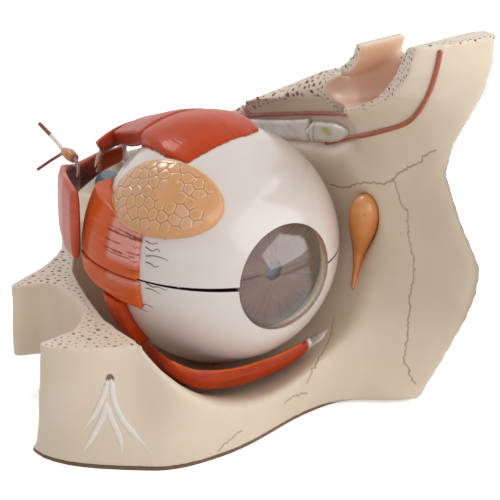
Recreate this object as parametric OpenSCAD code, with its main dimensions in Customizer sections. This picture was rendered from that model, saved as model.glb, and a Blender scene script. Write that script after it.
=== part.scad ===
// Take-apart model of a right eyeball in its bony socket, cut open from above and from the temple side.
// The origin lies on the flat base, straight below the centre of the eyeball.
// X points to the nose, Y to the back of the socket, Z up; the gaze is along -Y.

/* [Eyeball] */
// Outer radius of the white of the eye
eye_r = 55; // [54.5:0.1:55.2]
// Height of the eyeball's centre above the base
eye_z = 74; // [73.5:0.1:74.5]
// Wall of the white of the eye
sclera_t = 4; // [3:0.1:5]
// Wall of the inner coat
choroid_t = 3; // [2.4:0.1:3.4]
// Clear gap between nested balls and between their halves
ball_gap = 0.4; // [0.3:0.05:0.5]
// Radius of the window that the cornea closes
window_r = 24.5; // [23:0.1:25]
// Radius of the cornea's dome
cornea_r = 32; // [30:0.5:34]
// Wall of the cornea
cornea_t = 2; // [1.6:0.1:2.4]
// Radius of the pupil
pupil_r = 4.3; // [3.5:0.1:6]
// Distance of the iris in front of the eyeball's centre
iris_y = 42; // [41:0.1:43]
// Radius of the lens
lens_r = 20; // [18:0.1:21]
// Thickness of the lens
lens_t = 17; // [14:0.1:18]
// Radius of the optic nerve
nerve_r = 6.5; // [5:0.1:7]

/* [Muscles] */
// Radius of the thin arteries
artery_r = 1.2; // [1:0.05:1.5]
// Radius of the nerve and artery stubs behind the eyeball
twig_r = 1.1; // [1:0.05:1.4]

/* [Bone] */
// Plane through the middle of the nose
mid_x = 66; // [65:0.5:68]
// Height of the level cut through the cheek side of the socket
cut_z = 52; // [50:0.5:54]
// Rearmost point of the bone
rear_y = 140; // [135:1:145]
// Felt under the bone
felt_t = 1.5; // [1:0.1:2]
// Radius of the upright shaft in which the upper half of the eyeball lifts
lift_r = 56; // [55.6:0.1:57]

/* [Hidden] */

$fn = 96;
eye = [0, 0, eye_z];
skin = 0.06;                                     // a muscle lies this far off the white of the eye
sclera_in = eye_r - sclera_t;
choroid_out = sclera_in - ball_gap;
choroid_in = choroid_out - choroid_t;
vitreous_r = choroid_in - ball_gap;
window_y = sqrt(eye_r * eye_r - window_r * window_r);
pin_r = 1.1;
pin_play = 0.05;
bone_colour = "#e4dacb";
flesh = "#c8501f";
tendon = "#d9988c";
white = "#e8e0da";

// --- curves and skins -------------------------------------------------------------------------------

// a point on the smooth curve through four points, between the middle two
function curve_at(a, b, c, d, t) =
    0.5 * (2 * b + (c - a) * t + (2 * a - 5 * b + 4 * c - d) * t * t + (3 * b - a - 3 * c + d) * t * t * t);

// the smooth open curve through the points, with n steps between each two
function open_curve(p, n) = concat(
    [for (i = [0:len(p) - 2], k = [0:n - 1])
        curve_at(p[max(i - 1, 0)], p[i], p[i + 1], p[min(i + 2, len(p) - 1)], k / n)],
    [p[len(p) - 1]]);

function total(v) = [for (x = v) 1] * v;
function middle(ring) = total(ring) / len(ring);
// vector along the axis that a ring turns about, by the right-hand rule
function turning(ring) = total([for (k = [0:len(ring) - 1]) cross(ring[k], ring[(k + 1) % len(ring)])]);

// rings of equally many points as one closed skin with flat ends, whichever way the rings turn
module loft(rings) {
    n = len(rings[0]);
    last = len(rings) - 1;
    forward = turning(rings[0]) * (middle(rings[1]) - middle(rings[0])) > 0;
    turned = forward ? rings : [for (r = rings) [for (k = [n - 1:-1:0]) r[k]]];
    polyhedron(
        points = [for (r = turned, p = r) p],
        faces = concat(
            [for (i = [0:last - 1], k = [0:n - 1], half = [0, 1])
                let (a = i * n + k, b = i * n + (k + 1) % n)
                half == 0 ? [a, b + n, b] : [a, a + n, b + n]],
            [[for (k = [0:n - 1]) k]],
            [[for (k = [n - 1:-1:0]) last * n + k]]));
}

function unit(v) = v / norm(v);

// a round tube of radius r along the points, as one skin
module tube(p, r, sides = 10) {
    n = len(p);
    loft([for (i = [0:n - 1])
        let (
            along = unit(p[min(i + 1, n - 1)] - p[max(i - 1, 0)]),
            side = unit(cross(along, abs(along[2]) > 0.9 ? [1, 0, 0] : [0, 0, 1])),
            over = cross(along, side))
        [for (k = [0:sides - 1]) p[i] + r * (cos(k * 360 / sides) * side + sin(k * 360 / sides) * over)]]);
}

// round beads [x, y, z, radius] joined one to the next
module chain(beads, sides = 16) {
    for (i = [0:len(beads) - 2]) hull() for (b = [beads[i], beads[i + 1]])
        translate([b[0], b[1], b[2]]) sphere(r = b[3], $fn = sides);
}
// the points of a path with the same radius at each
function even(path, r) = [for (p = path) [p[0], p[1], p[2], r]];

// a flat strap: each station is [centre, half width vector, half thickness vector]
module strap(stations, sides = 16) {
    loft([for (s = stations)
        [for (k = [0:sides - 1])
            let (c = cos(k * 360 / sides), d = sin(k * 360 / sides))
            s[0] + sign(c) * pow(abs(c), 0.6) * s[1] + sign(d) * pow(abs(d), 0.6) * s[2]]]);
}

// --- bone -------------------------------------------------------------------------------------------

// outer line of the foot, from the temple corner round the front to the nose
foot_front = [[-103, -1], [-103, -10], [-98, -22], [-88, -34], [-74, -46.5], [-66, -52], [-56, -55],
              [-45, -56], [-34, -56], [-20, -54], [-6, -50.5], [8, -47], [22, -45], [36, -45],
              [50, -50], [70, -52]];
// the same line where the cheek is cut level
cut_front = [[-100, -2.5], [-98, -9], [-91, -17], [-80, -24], [-66, -31], [-60, -42], [-50, -50],
             [-39, -53.5], [-28, -53.5], [-15, -52.5], [-2, -50.5], [12, -48], [24, -45], [36, -42],
             [50, -42], [70, -42]];
// the line round the back: rear wall, rear lobe and the temporal hollow between the two lobes
rear_line = [[20, rear_y + 5], [-4, 122], [-22, 98], [-32, 82], [-49, 69], [-63, 63], [-76, 58], [-75, 54],
             [-67, 52], [-61, 48.5], [-59, 42], [-60, 26], [-66, 12], [-79, 0]];

function cheek_ring(front, grow, z) = [for (p = concat(
    open_curve(front, 2), [[70, rear_y + 5]],
    open_curve([for (q = rear_line) [q[0] - grow, q[1]]], 2))) [p[0], p[1], z]];

// face and cheek below the level cut
module lower_block() {
    loft([cheek_ring(foot_front, 1, 0), cheek_ring(cut_front, 0, cut_z)]);
}

// the side of the nose and the brow, level by level: [height, from the socket's rim to the midline]
nose_levels = [
    [-1, [[8, -47], [24, -45], [38, -48.5], [52, -59], [61, -64], [66, -65]]],
    [26, [[20, -46], [32, -47], [46, -57], [56, -69], [62, -77], [66, -82]]],
    [52, [[44, -38], [52, -46], [57.5, -61], [61, -76], [64, -89], [66, -96.5]]],
    [66, [[54, -38], [57.5, -49], [60, -65], [62, -82], [64.5, -95], [66, -102.5]]],
    [79, [[56.5, -42], [58.8, -53], [60.8, -67], [62.4, -83], [64.6, -98], [66, -104.6]]],
    [98, [[57, -42], [58.8, -51], [60.6, -61], [62.4, -72], [64.5, -84], [66, -90]]],
    [116, [[55, -30], [57, -44], [59.5, -55], [62, -65], [64.5, -75], [66, -80]]],
    [130, [[47, -24], [52, -46], [56.5, -61], [60.5, -73], [64, -81], [66, -84]]],
    [145, [[38, -46], [44, -62], [51, -76], [57.5, -85.5], [62.5, -91], [66, -93.5]]],
    [160, [[31, -82], [37, -89], [45, -95], [53, -99], [60, -101.5], [66, -102.5]]],
    [174, [[27, -96], [35, -100.5], [44, -104], [53, -106], [60, -107], [66, -107]]],
    [190, [[25, -104], [34, -106], [44, -107.5], [53, -108], [60, -108], [66, -108]]]];

module nose_block() {
    loft([for (l = nose_levels)
        let (front = l[1])
        [for (p = concat(open_curve(front, 3), [[75, front[5][1] - 1], [75, 160], [8, 160]]))
            [p[0], p[1], l[0]]]]);
}

// outline of the middle slab seen from the side, as [y, z]
side_outline = [[-115, -0.5], [-115, 187], [-100, 187], [-60, 174], [-46, 172], [-43, 166], [-36, 160],
                [-26, 155], [-14, 150], [0, 144], [30, 128], [61, 110], [107, 81], [150, 56.5],
                [150, -0.5]];
// the same top is sawn aslant, down towards the socket: [y, height at the midline, height 16 mm from it]
top_slant = [[-22, 154, 153], [-12, 149.5, 141], [0, 144, 134], [30, 128, 121], [61, 110, 108.5],
             [90, 92, 92]];
slant_width = 16;
// the frontal sinus in the same view
sinus_outline = [[-97, 200], [-92.5, 184], [-86, 173], [-77, 163], [-66, 154], [-53, 147], [-41, 141],
                 [-28, 137], [-16, 134.5], [-9, 135], [-6, 138], [-9, 142], [-18, 146], [-30, 151],
                 [-40, 156.5], [-47, 163], [-50.5, 171], [-52, 200]];

septum_t = 5;                                    // wall left at the midline beside the sinus
septum_top = 164;                                // above this height the sinus is open to the midline

// extrudes a [y, z] outline from x = from to x = to
module side_slab(outline, from, to) {
    translate([from, 0, 0]) rotate([90, 0, 90]) linear_extrude(to - from) polygon(outline);
}

// the socket's hollow, section by section: [y, middle x, middle z, half width, half depth, half rise]
socket_sections = [
    [-80, -8, 78, 71, 67, 102], [-50, -8, 76, 65, 57, 98], [-28, -5.5, 75, 63, 63, 96],
    [0, -4, 75, 62.5, 65, 95], [28, 0, 76, 59, 60, 88], [54, 2, 79, 55, 50, 72],
    [75, 8, 80, 50, 42, 56], [96, 18, 82, 34, 30, 40], [112, 30, 82, 12, 12, 14]];

module socket() {
    sides = 32;
    loft([for (s = socket_sections)
        [for (k = [0:sides - 1])
            let (a = k * 360 / sides)
            [s[1] + s[3] * cos(a), s[0], s[2] + (sin(a) < 0 ? s[4] : s[5]) * sin(a)]]]);
}

// the sagittal cut that opens the brow and the sinus from the temple side
module brow_cut() {
    translate([53, 0, cut_z + 70]) rotate([0, 0, -atan(0.26)])
        translate([-200, -160, 0]) cube([200, 158, 100]);
}

module sinus() {
    side_slab(sinus_outline, 5, mid_x - septum_t);
    intersection() {
        side_slab(sinus_outline, 5, mid_x + septum_t);
        translate([-far, -far, septum_top]) cube(2 * far);
    }
}

// what lies above the slanting top of the inner wall
module slant_cut() {
    loft([for (s = top_slant)
        let (near = s[2] - (s[1] - s[2]), far_edge = s[1] + (s[1] - s[2]))
        [[mid_x - 2 * slant_width, s[0], near], [mid_x + slant_width, s[0], far_edge],
         [mid_x + slant_width, s[0], far], [mid_x - 2 * slant_width, s[0], far]]]);
}

// upright shaft that lets the upper half of the eyeball rise
module lift_shaft() {
    translate(eye) cylinder(r = lift_r, h = 150);
}

// bed along the top of the inner wall for the pulley, its tendon and the artery:
// [y, x, lower z, upper z] of the middles of its rounded corners
bed_line = [[-24, 50, 121, 127], [-10, 52.5, 115, 126], [8, 53, 111, 121], [36, 53, 105, 112],
            [58, 51, 101, 104], [80, 46, 96, 98]];
bed_r = 8;
module pulley_bed() {
    for (i = [0:len(bed_line) - 2]) hull() for (b = [bed_line[i], bed_line[i + 1]], z = [b[2], b[3]])
        translate([b[1], b[0], z]) sphere(r = bed_r, $fn = 32);
}

module whole_bone() {
    difference() {
        union() {
            difference() {
                lower_block();
                translate([-110, 46, 0]) cube([58, 40, 15]);
            }
            intersection() {
                nose_block();
                side_slab(side_outline, 6, 72);
            }
        }
        socket();
        sinus();
        slant_cut();
        brow_cut();
        lift_shaft();
        pulley_bed();
        sac_groove();
    }
}

module bone_part(x, y, z) {
    color(bone_colour) intersection() {
        whole_bone();
        translate([x[0], y[0], z[0]]) cube([x[1] - x[0], y[1] - y[0], z[1] - z[0]]);
    }
}

cheek_x = -30;                                   // the cheekbone meets the upper jaw here
fossa_y = 24;                                    // middle of the temporal hollow
suture_x = 61;                                   // the nasal bone meets the upper jaw here
brow_z = 112;                                    // the brow meets the nose here
wall_y = -30;                                    // the upper jaw meets the inner wall here
back_y = 60;                                     // the inner wall meets the sphenoid here
far = 200;

module zygomatic_bone() { bone_part([-far, cheek_x], [-far, fossa_y], [felt_t, far]); }
module temporal_lobe() { bone_part([-far, cheek_x], [fossa_y, rear_y], [felt_t, far]); }
module maxilla() { bone_part([cheek_x, suture_x], [-far, wall_y], [felt_t, brow_z]); }
module nasal_bone() { bone_part([suture_x, mid_x], [-far, wall_y], [felt_t, brow_z]); }
module frontal_bone() { bone_part([cheek_x, mid_x], [-far, back_y], [brow_z, far]); }
module ethmoid_wall() { bone_part([cheek_x, mid_x], [wall_y, back_y], [felt_t, brow_z]); }
module sphenoid_bone() { bone_part([cheek_x, mid_x], [back_y, rear_y], [felt_t, far]); }

module base_felt() {
    color("#7a5a3c") linear_extrude(felt_t) difference() {
        polygon([for (p = cheek_ring(foot_front, 1, 0)) [min(p[0], mid_x), min(p[1], rear_y)]]);
        translate([-110, 46]) square([58, 40]);
    }
}

// --- soft pieces on the bone ------------------------------------------------------------------------

// what is left of a soft piece outside the bone
module outside_bone() {
    difference() {
        children();
        whole_bone();
    }
}

// the tear sac in its groove on the inner rim: [x, y, z, radius] from its top to its duct
sac_line = [[57, -36, 89.5, 5.5], [57, -35.5, 86, 7.4], [57, -34.5, 80, 7], [57.3, -33, 73, 5.2],
            [57.4, -31.5, 66, 3.4], [55.6, -32, 58, 2], [53.3, -33.2, 53, 1.5], [51.3, -34.6, 49.5, 1.1]];
module sac_groove() {
    chain([for (b = open_curve(sac_line, 2)) b + [0, 0, 0, 0.4]], 24);
}
module lacrimal_sac() {
    color("#d98a45") chain(open_curve(sac_line, 2), 24);
}

// pulley of the superior oblique, a block of cartilage on the inner wall: [y, z] of its corners
trochlea_outline = [[7.5, 112], [2, 116.5], [-11, 119.5], [-20.5, 119.5], [-19, 117.5], [-8, 113.3],
                    [4, 110.5]];
trochlea_x = 58.6;
trochlea_r = 2.2;
module trochlea() {
    color("#d9d3b4") outside_bone() hull() for (c = trochlea_outline)
        translate([trochlea_x, c[0], c[1]]) sphere(r = trochlea_r, $fn = 24);
}

// belly and tendon of the superior oblique along the top of the inner wall
module superior_oblique() {
    color(white) difference() {
        outside_bone() strap([
            [[42, 99, 91], [2.4, 1, 0], [0, 0.5, 3.2]], [[49.5, 82, 95], [2.2, 0.8, 0], [0, 0.4, 3.6]],
            [[55.5, 66, 98.5], [1.7, 0.3, 0], [0, 0.4, 4]], [[58.3, 56, 100.5], [1.6, 0, 0], [0, 0.4, 4]],
            [[58.4, 41, 104], [1.6, 0, 0], [0, 0.4, 4.3]], [[58.5, 26, 107.5], [1.6, 0, 0], [0, 0.4, 5]],
            [[58.5, 8, 112.5], [1.6, 0, 0], [0, 0.4, 5.6]]]);
        trochlea();
    }
}

// --- muscles ----------------------------------------------------------------------------------------

// a strap bent round the gaze axis; each station is [y, middle x, middle z, from angle, to angle,
// inner radius, outer radius]
module bent_strap(stations, steps = 10) {
    loft([for (s = stations)
        [for (k = [0:2 * steps + 1])
            let (
                outer = k <= steps,
                a = outer ? s[3] + (s[4] - s[3]) * k / steps : s[4] - (s[4] - s[3]) * (k - steps - 1) / steps,
                r = outer ? s[6] : s[5])
            [s[1] + r * cos(a), s[0], s[2] + r * sin(a)]]]);
}

ring_at = [30, 106, 82];                         // the tendinous ring at the back of the socket

module superior_rectus_rear() {
    color(tendon) bent_strap([
        [58, -4, 74, 62, 120, 36.5, 43], [64, -3, 74, 62, 121, 32.5, 40], [70, -2, 75, 61, 119, 27, 35],
        [76, 0, 76, 58, 112, 22.5, 29.5], [84, 5, 78, 52, 100, 17, 22.5], [92, 12, 80, 50, 97, 11.5, 16.5],
        [101, 24, 82, 50, 105, 5.5, 10]]);
}

module lateral_rectus_rear() {
    color(tendon) strap([
        [[-58, 28, 87], [-2.6, 0.4, 0], [0, 0, 17]], [[-53.5, 42, 87], [-2.5, 0.9, 0], [0, 0, 18]],
        [[-46, 57, 86], [-2.3, 1.3, 0], [0, 0, 16.5]], [[-35, 73, 84], [-2, 1.8, 0], [0, 0, 13.5]],
        [[-18, 90, 81], [-1.6, 2, 0], [0, 0, 7.5]], [[3, 101, 81], [-0.9, 2, 0], [0, 0, 5.5]],
        [[18.5, 104.5, 81], [-0.5, 1.8, 0], [0, 0, 4]]]);
}

module medial_rectus_rear() {
    color(tendon) strap([
        [[53.6, 36, 76], [1.8, 0, 0], [0, 0, 15]], [[52.6, 52, 77], [2.2, 0, 0], [0, 0, 14]],
        [[50, 70, 78], [2.4, 0.6, 0], [0, 0, 11]], [[45, 86, 79], [2.2, 0.8, 0], [0, 0, 8]],
        [[40.5, 98, 80], [2, 0.8, 0], [0, 0, 4.5]]]);
}

module inferior_rectus_rear() {
    color(tendon) strap([
        [[0, 16, 18.4], [14, 0, 0], [0, 0, 2]], [[2, 34, 25.6], [14, 0, 0], [0, -1, 2.4]],
        [[5, 52, 36], [14, 0, 0], [0, -1.4, 2.6]], [[11, 70, 50], [12, 0, 0], [0, -1.8, 2.4]],
        [[20, 88, 65], [9, 0, 0], [0, -1.8, 2.2]], [[28, 101, 75], [5, 0, 0], [0, -1.6, 2]]]);
}

// the ring of tendon that the straight muscles spring from
module tendinous_ring() {
    color(white) translate(ring_at) rotate([90, 0, -12]) rotate_extrude()
        translate([9.4, 0]) circle(r = 2.6);
}

// hammock from the inner rim under the eyeball to the temple side: [x, y, z of its front ridge,
// height of the front face, depth of the sloping upper face]
oblique_line = [[26, -35, 32, 4, 4], [20, -35, 30.5, 7, 9], [10, -34.5, 28.5, 8, 13], [0, -34.5, 28, 8.5, 15],
                [-14, -36, 29, 9, 16], [-28, -37.5, 32, 9, 16], [-40, -37, 35.5, 9, 15],
                [-49, -34, 41, 7, 11], [-53, -28, 45.5, 6, 7], [-55, -21, 49, 5, 4.5]];
// the band's outline at a station: ridge, rounded front face, underside and sloping top
function oblique_ring(s) =
    let (x = s[0], y = s[1], z = s[2], h = s[3], d = s[4])
    [[x, y, z], [x, y - 1.6, z - 1.2], [x, y - 2.4, z - h / 2], [x, y - 1, z - h],
     [x, y + d / 2, z - h - 0.15 * d], [x, y + d, z - h - 0.3 * d], [x, y + d, z - 1.5 - 0.5 * d],
     [x, y + 0.4 * d, z - 1.4 - 0.25 * d]];
module inferior_oblique() {
    color("#b8432a") loft([for (s = open_curve(oblique_line, 2)) oblique_ring(s)]);
}

// --- vessels and nerves -----------------------------------------------------------------------------

// artery over the brow: it leaves the pulley, runs along the inner wall and climbs the forehead
brow_artery = [[58, -5, 108.8], [57.5, -16, 112], [54.5, -30, 119.5], [52, -42, 126.5], [52, -52.5, 131],
               [51, -70.5, 140.5], [47, -83, 151], [40.5, -96, 164], [37.5, -103, 175], [37, -105, 183]];
module supraorbital_artery() {
    color("#c05a2e") outside_bone() tube(open_curve(brow_artery, 3), artery_r);
}

// artery along the top of the inner wall, with one side branch
wall_artery = [[57.6, 62, 105.4], [57.6, 41, 111], [57.6, 20, 117.5], [57.6, 4, 122.5], [57.2, -10, 126],
               [57, -21, 129]];
wall_branch = [[57.6, 52, 108], [54.5, 59, 112]];
module ethmoidal_artery() {
    color("#b05a55") outside_bone() {
        chain(even(open_curve(wall_artery, 2), artery_r));
        chain(even(wall_branch, artery_r * 0.7));
    }
}

// artery that comes through the ring and crosses over the optic nerve
module ophthalmic_artery() {
    color("#8c2f24") tube(open_curve([[27, 104, 86], [14, 100, 92], [4, 94, 93], [-8, 84, 92],
                                      [-16, 74, 90], [-20, 66, 96]], 3), twig_r * 1.3);
}

// ganglion with its twigs, standing off the rear of the lateral rectus
ganglion = [[-20, 88, 92.5, 2.6], [-20, 91, 93, 3], [-19.5, 96, 93, 2.2]];
long_twig = [[-27.5, 73.5, 88.5], [-22, 81, 91.5], [-20, 90, 93], [-19, 97, 93], [-19, 108, 97],
             [-20, 117, 101]];
short_twig = [[-19.5, 96, 93], [-25, 101, 88], [-30, 104, 84]];
module ciliary_nerves() {
    color("#8c4a30") {
        chain(even(open_curve(long_twig, 2), twig_r));
        chain(even(short_twig, twig_r * 0.8));
        chain(ganglion, 20);
    }
}

// nerve that leaves the cheekbone by a small hole and fans out on it
cheek_trunk = [[-79, -28.2, 39.5], [-80.6, -29.2, 34], [-81.5, -30.3, 29.5], [-82.5, -31, 24.5]];
cheek_twigs = [[[-87.4, -29, 19.5], [-92, -25.6, 17]], [[-87.9, -30.6, 13], [-92.8, -27.2, 8.5]],
               [[-80.6, -35.8, 15], [-80.2, -38.8, 8]], [[-75.2, -40.2, 14.5], [-70.9, -46.8, 8.5]]];
cheek_nerve_r = 0.9;
module zygomatic_nerve() {
    color(white) outside_bone() {
        chain(even(cheek_trunk, cheek_nerve_r));
        for (t = cheek_twigs) chain(even(concat([cheek_trunk[3]], t), cheek_nerve_r));
    }
}

// --- eyeball ----------------------------------------------------------------------------------------

module ball_shell(outer, inner) {
    translate(eye) difference() { sphere(r = outer); sphere(r = inner); }
}
module half_space(up) {
    translate([-far, -far, up ? eye_z + ball_gap / 2 : -far + eye_z - ball_gap / 2])
        cube([2 * far, 2 * far, far]);
}
// along the gaze axis, from y = from to y = to
module gaze_cylinder(r, from, to) {
    translate([0, to, eye_z]) rotate([90, 0, 0]) cylinder(r = r, h = to - from);
}

pin_places = [for (a = [0, 125, 235]) [sin(a), cos(a), 0] * (eye_r - sclera_t / 2)];
module pins(grow) {
    for (p = pin_places) translate([p[0], p[1], eye_z - 4]) cylinder(r = pin_r + grow, h = 8 + grow);
}

module lower_sclera() {
    color(white) difference() {
        intersection() { ball_shell(eye_r, sclera_in); half_space(false); }
        gaze_cylinder(window_r + 0.3, -80, -20);
        pins(0);
    }
}
module upper_sclera() {
    color(white) difference() {
        intersection() { ball_shell(eye_r, sclera_in); half_space(true); }
        gaze_cylinder(window_r, -80, -20);
        pins(pin_play);
    }
}
module seam_pins() { color("#b9bcc0") pins(0); }

module cornea() {
    middle = window_y - sqrt(cornea_r * cornea_r - window_r * window_r);
    color([0.9, 0.93, 0.95, 0.35]) intersection() {
        translate([0, -middle, eye_z]) difference() { sphere(r = cornea_r); sphere(r = cornea_r - cornea_t); }
        gaze_cylinder(window_r, -80, -40);
    }
}

module optic_nerve() {
    color("#7f9ca6") difference() {
        gaze_cylinder(nerve_r, 40, 92);
        translate(eye) sphere(r = eye_r + skin);
        translate(eye) cylinder(r = eye_r + 0.4, h = 30);
    }
}

// a muscle's end on the eyeball: thin at its insertion, thicker towards the back
module ball_muscle(grow, shift) {
    difference() {
        intersection() {
            translate(eye + shift) sphere(r = eye_r + grow);
            children();
        }
        translate(eye) sphere(r = eye_r + skin);
    }
}

module superior_rectus_front() {
    color(flesh) ball_muscle(3.1, [0, 7.7, 0]) translate([0, 0, eye_z + 20]) linear_extrude(60)
        polygon([[-26, -13], [-17, -14.5], [-4, -14.5], [9, -13], [18, -8], [21, 4], [21, 27.7],
                 [-23, 27.7], [-27, 14], [-29, 0]]);
}
module superior_rectus_middle() {
    color(tendon) bent_strap([for (s = [
            [28.3, 47.8, 55], [37, 42.4, 52.3], [46, 38.6, 48.4], [57.4, 37, 43.9]])
        [s[0], 0, eye_z, 67.5, 115, s[1], s[2]]], 6);
}
module lateral_rectus_side() {
    ball_muscle(3, [-1.5, 6, 0]) rotate([90, 0, 90]) translate([0, 0, -90]) linear_extrude(80) children();
}
module lateral_rectus_upper() {
    color(flesh) intersection() {
        lateral_rectus_side()
            polygon([[-15, eye_z], [-14, 86], [-13, 97], [0, 99.5], [14, 102], [32, 103.5], [31, eye_z]]);
        half_space(true);
    }
}
module lateral_rectus_lower() {
    color(flesh) intersection() {
        lateral_rectus_side() polygon([[-15, eye_z], [-15, 60], [8, 62.5], [29, 64], [32, eye_z]]);
        half_space(false);
    }
}
module inferior_oblique_insertion() {
    color(flesh) ball_muscle(4.5, [-1, 0, 0]) translate([-90, 0, 0]) rotate([90, 0, 90]) linear_extrude(70)
        polygon([[-4, 60.8], [8, 62], [7, 48], [5, 40], [-5, 38], [-5, 48]]);
}
module inferior_rectus_front() {
    color(flesh) ball_muscle(2.6, [0, 3, 0]) translate([0, 0, 0]) linear_extrude(eye_z - 20)
        polygon([[-14, -14], [14, -14], [15, 0], [14, 14], [-14, 14], [-15, 0]]);
}

// tear gland: an oval pad on the upper half, seen along the line from the eyeball's centre
gland_turn = [0, 50.3, 205.9];
gland_shift = -5;
gland_wide = 28.5;
gland_high = 17.6;
module lacrimal_gland() {
    color("#dda76a") difference() {
        translate(eye) rotate(gland_turn) intersection() {
            translate([0, -2, 18]) sphere(r = 43);
            linear_extrude(80) polygon([for (a = [0:10:350])
                [gland_high * cos(a), gland_shift + gland_wide * sin(a)]]);
        }
        translate(eye) sphere(r = eye_r + skin);
        lateral_rectus_upper();
    }
}

// --- inside the eyeball -----------------------------------------------------------------------------

module choroid_ball() {
    difference() {
        intersection() {
            translate(eye) sphere(r = choroid_out);
            translate([-far, -iris_y + 1.6, -far]) cube(2 * far);
        }
        translate(eye) sphere(r = choroid_in);
    }
}
module iris_disc() {
    difference() {
        intersection() {
            translate(eye) sphere(r = choroid_out);
            gaze_cylinder(choroid_out, -iris_y, -iris_y + 1.6);
        }
        gaze_cylinder(pupil_r, -iris_y - 1, -iris_y + 3);
    }
}
module lower_choroid() { color("#a0462e") intersection() { choroid_ball(); half_space(false); } }
module upper_choroid() { color("#a0462e") intersection() { choroid_ball(); half_space(true); } }
module lower_iris() { color("#9a7c70") intersection() { iris_disc(); half_space(false); } }
module upper_iris() { color("#9a7c70") intersection() { iris_disc(); half_space(true); } }

lens_y = -iris_y + 2 + lens_t / 2;               // the lens lies just behind the iris
lens_bend = (lens_r * lens_r + lens_t * lens_t / 4) / lens_t;

module lens() {
    color([0.92, 0.93, 0.88, 0.5]) intersection_for (side = [-1, 1])
        translate([0, lens_y + side * (lens_bend - lens_t / 2), eye_z]) sphere(r = lens_bend);
}

// glass body, with an upright channel for the back of the lens, open to the top
module vitreous_body() {
    seat = lens_r + ball_gap;
    color([0.85, 0.9, 0.93, 0.4]) difference() {
        translate(eye) rotate([90, 0, 0]) sphere(r = vitreous_r);
        translate([-far, lens_y - 2 * far, -far]) cube(2 * far);
        translate([-seat, lens_y - far, eye_z - seat]) cube([2 * seat, far + lens_t / 2 + ball_gap, far]);
    }
}

// --- assembly ---------------------------------------------------------------------------------------

zygomatic_bone();
temporal_lobe();
maxilla();
nasal_bone();
frontal_bone();
ethmoid_wall();
sphenoid_bone();
base_felt();
lacrimal_sac();
trochlea();
superior_oblique();
superior_rectus_rear();
lateral_rectus_rear();
medial_rectus_rear();
inferior_rectus_rear();
inferior_oblique();
tendinous_ring();
supraorbital_artery();
ethmoidal_artery();
ophthalmic_artery();
ciliary_nerves();
zygomatic_nerve();
lower_sclera();
optic_nerve();
lateral_rectus_lower();
inferior_rectus_front();
inferior_oblique_insertion();
seam_pins();
upper_sclera();
cornea();
superior_rectus_front();
superior_rectus_middle();
lateral_rectus_upper();
lacrimal_gland();
lower_choroid();
lower_iris();
vitreous_body();
lens();
upper_choroid();
upper_iris();
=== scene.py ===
"""Looks of a take-apart model of a right eyeball in its bony socket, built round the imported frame."""
import math

import bpy
import bmesh
import numpy as np
from mathutils import Matrix, Vector
from mathutils.bvhtree import BVHTree
from mathutils.kdtree import KDTree


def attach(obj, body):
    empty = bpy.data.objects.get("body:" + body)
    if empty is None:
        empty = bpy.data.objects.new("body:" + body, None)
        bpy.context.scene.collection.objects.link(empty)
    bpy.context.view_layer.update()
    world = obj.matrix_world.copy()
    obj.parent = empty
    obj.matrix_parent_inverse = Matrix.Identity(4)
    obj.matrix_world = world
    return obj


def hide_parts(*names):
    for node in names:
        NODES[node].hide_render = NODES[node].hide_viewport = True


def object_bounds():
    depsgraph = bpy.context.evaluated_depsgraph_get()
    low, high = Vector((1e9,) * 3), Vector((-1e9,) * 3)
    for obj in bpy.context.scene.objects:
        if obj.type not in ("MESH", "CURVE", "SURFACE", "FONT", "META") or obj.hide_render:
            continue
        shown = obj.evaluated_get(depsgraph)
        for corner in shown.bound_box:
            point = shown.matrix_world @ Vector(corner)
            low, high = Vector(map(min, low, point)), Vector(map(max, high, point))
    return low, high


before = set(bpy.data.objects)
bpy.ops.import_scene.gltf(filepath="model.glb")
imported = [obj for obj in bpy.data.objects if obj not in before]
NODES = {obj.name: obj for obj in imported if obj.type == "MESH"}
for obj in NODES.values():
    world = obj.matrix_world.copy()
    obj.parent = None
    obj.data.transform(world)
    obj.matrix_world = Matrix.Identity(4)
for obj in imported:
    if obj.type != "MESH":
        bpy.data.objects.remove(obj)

CAD_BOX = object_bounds()
MM = 0.001

# --- real sizes, in millimetres ---------------------------------------------------------------------
EYE = np.array([0.0, 0.0, 74.0])      # centre of the eyeball
EYE_R = 55.0
IRIS_Y, IRIS_T, IRIS_R, PUPIL_R = -42.0, 1.6, 27.9, 4.3
HALF_GAP = 0.2                        # half the gap between the two halves of a ball
CLEAR = 0.05                          # how far a piece keeps off the eyeball it lies on
WELD = 0.002                          # points of the CAD meshes that are closer are one
CUT_Z = 52.0                          # level cut through the cheek side
MID_X = 66.0                          # plane through the middle of the nose
REAR_Y = 140.0
FELT_T = 1.5
BROW_CUT = (53.0, 0.26)               # the brow is cut along x = a + b * y

# --- the photograph's view --------------------------------------------------------------------------
PHOTO_PX = 500
AZIMUTH, ELEVATION = math.radians(-37.0), math.radians(23.0)
DISTANCE = 1100.0
PX_PER_MM = 121.3 / 55.0              # at the eyeball's centre
EYE_PX = (218.0, 241.5)               # where the eyeball's centre lies in the picture
SENSOR = 36.0
FOCAL_PX = PX_PER_MM * DISTANCE
BACK = np.array([math.sin(AZIMUTH) * math.cos(ELEVATION), -math.cos(AZIMUTH) * math.cos(ELEVATION),
                 math.sin(ELEVATION)])
RIGHT = np.array([math.cos(AZIMUTH), math.sin(AZIMUTH), 0.0])
UP = np.cross(BACK, RIGHT)
MID_PX = PHOTO_PX / 2
VIEWPOINT = (EYE + BACK * DISTANCE - RIGHT * (EYE_PX[0] - MID_PX) / PX_PER_MM
             - UP * (MID_PX - EYE_PX[1]) / PX_PER_MM)


def sight(px, py):
    """Direction from the viewpoint through a pixel of the picture."""
    d = -BACK + RIGHT * (px - MID_PX) / FOCAL_PX - UP * (py - MID_PX) / FOCAL_PX
    return d / np.linalg.norm(d)


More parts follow.
